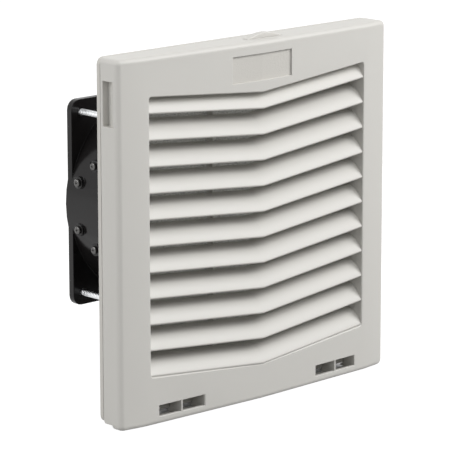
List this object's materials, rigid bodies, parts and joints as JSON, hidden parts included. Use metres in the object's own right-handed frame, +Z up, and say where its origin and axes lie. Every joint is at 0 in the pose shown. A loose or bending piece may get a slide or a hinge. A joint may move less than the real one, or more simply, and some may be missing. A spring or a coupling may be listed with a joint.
{
  "type": "cabinet filter fan",
  "caption": "Square cabinet filter fan: hinged chevron-louvred cover on a snap-in frame, with a filter mat, a tapered shroud and an axial fan behind it.",
  "frame": {"origin": "centre of the panel cut-out, in the front face of the panel", "axes": "+X right as seen from the front, +Y into the cabinet, +Z up"},
  "size_m": [0.204, 0.1045, 0.2068],
  "materials": {
    "cover_plastic": "fine satin moulding",
    "mat_fibre": "loose fibre fleece",
    "gasket_foam": "closed-cell foam",
    "fan_casting": "black paint on a die casting",
    "black_plastic": "satin moulding",
    "black_steel": "black oxide",
    "zinc_steel": "zinc plate",
    "guard_wire": "bright plated wire",
    "copper": "varnished copper wire",
    "core_iron": "stacked sheet"
  },
  "bodies": {
    "base": {"base_frame": "cover_plastic", "panel_gasket": "gasket_foam", "filter_mat": "mat_fibre", "fan_shroud": "cover_plastic", "shroud_screw_1": "zinc_steel", "shroud_screw_2": "zinc_steel", "shroud_screw_3": "zinc_steel", "shroud_screw_4": "zinc_steel", "fan_housing": "fan_casting", "fan_screw_1": "zinc_steel", "fan_screw_2": "zinc_steel", "fan_screw_3": "zinc_steel", "fan_screw_4": "zinc_steel", "fan_nut_1": "zinc_steel", "fan_nut_2": "zinc_steel", "fan_nut_3": "zinc_steel", "fan_nut_4": "zinc_steel", "lug_screw_rear_top": "black_steel", "lug_screw_rear_bottom": "black_steel", "lug_screw_front_top": "black_steel", "lug_screw_front_bottom": "black_steel", "finger_guard": "guard_wire", "terminal_block": "black_plastic", "terminal_blade_1": "zinc_steel", "terminal_blade_2": "zinc_steel", "motor_base": "black_steel", "stator_core": "core_iron", "winding_front": "copper", "winding_rear": "copper", "bearing_front": "zinc_steel", "bearing_rear": "zinc_steel"},
    "cover": {"front_grille": "cover_plastic"},
    "latch": {"cover_latch": "cover_plastic"},
    "rotor": {"rotor_cup": "black_steel", "rotor_ring": "core_iron", "shaft": "zinc_steel", "impeller": "black_plastic"},
    "clip_left_top": {"retaining_clip_left_top": "cover_plastic"},
    "clip_left_bottom": {"retaining_clip_left_bottom": "cover_plastic"},
    "clip_right_top": {"retaining_clip_right_top": "cover_plastic"},
    "clip_right_bottom": {"retaining_clip_right_bottom": "cover_plastic"}
  },
  "joints": [
    {"name": "grille_hinge", "type": "hinge", "parent": "base", "child": "cover", "pos_m": [0, -0.00835, -0.1009], "axis": [1, 0, 0], "range_deg": [0, 60]},
    {"name": "latch_press", "type": "hinge", "parent": "cover", "child": "latch", "pos_m": [0.0086, -0.0039, 0.0939], "axis": [1, 0, 0], "range_deg": [0, 6], "stiffness_Nm_per_rad": 0.05, "springref_deg": -5.73},
    {"name": "impeller_spin", "type": "hinge", "parent": "base", "child": "rotor", "pos_m": [0, 0.043, 0], "axis": [0, 1, 0], "continuous": true},
    {"name": "clip_left_top_flex", "type": "hinge", "parent": "base", "child": "clip_left_top", "pos_m": [-0.0874, 0.012, 0.046], "axis": [0, 0, 1], "range_deg": [0, 14], "stiffness_Nm_per_rad": 0.02, "springref_deg": -5.73},
    {"name": "clip_left_bottom_flex", "type": "hinge", "parent": "base", "child": "clip_left_bottom", "pos_m": [-0.0874, 0.012, -0.046], "axis": [0, 0, 1], "range_deg": [0, 14], "stiffness_Nm_per_rad": 0.02, "springref_deg": -5.73},
    {"name": "clip_right_top_flex", "type": "hinge", "parent": "base", "child": "clip_right_top", "pos_m": [0.0874, 0.012, 0.046], "axis": [0, 0, -1], "range_deg": [0, 14], "stiffness_Nm_per_rad": 0.02, "springref_deg": -5.73},
    {"name": "clip_right_bottom_flex", "type": "hinge", "parent": "base", "child": "clip_right_bottom", "pos_m": [0.0874, 0.012, -0.046], "axis": [0, 0, -1], "range_deg": [0, 14], "stiffness_Nm_per_rad": 0.02, "springref_deg": -5.73}
  ]
}
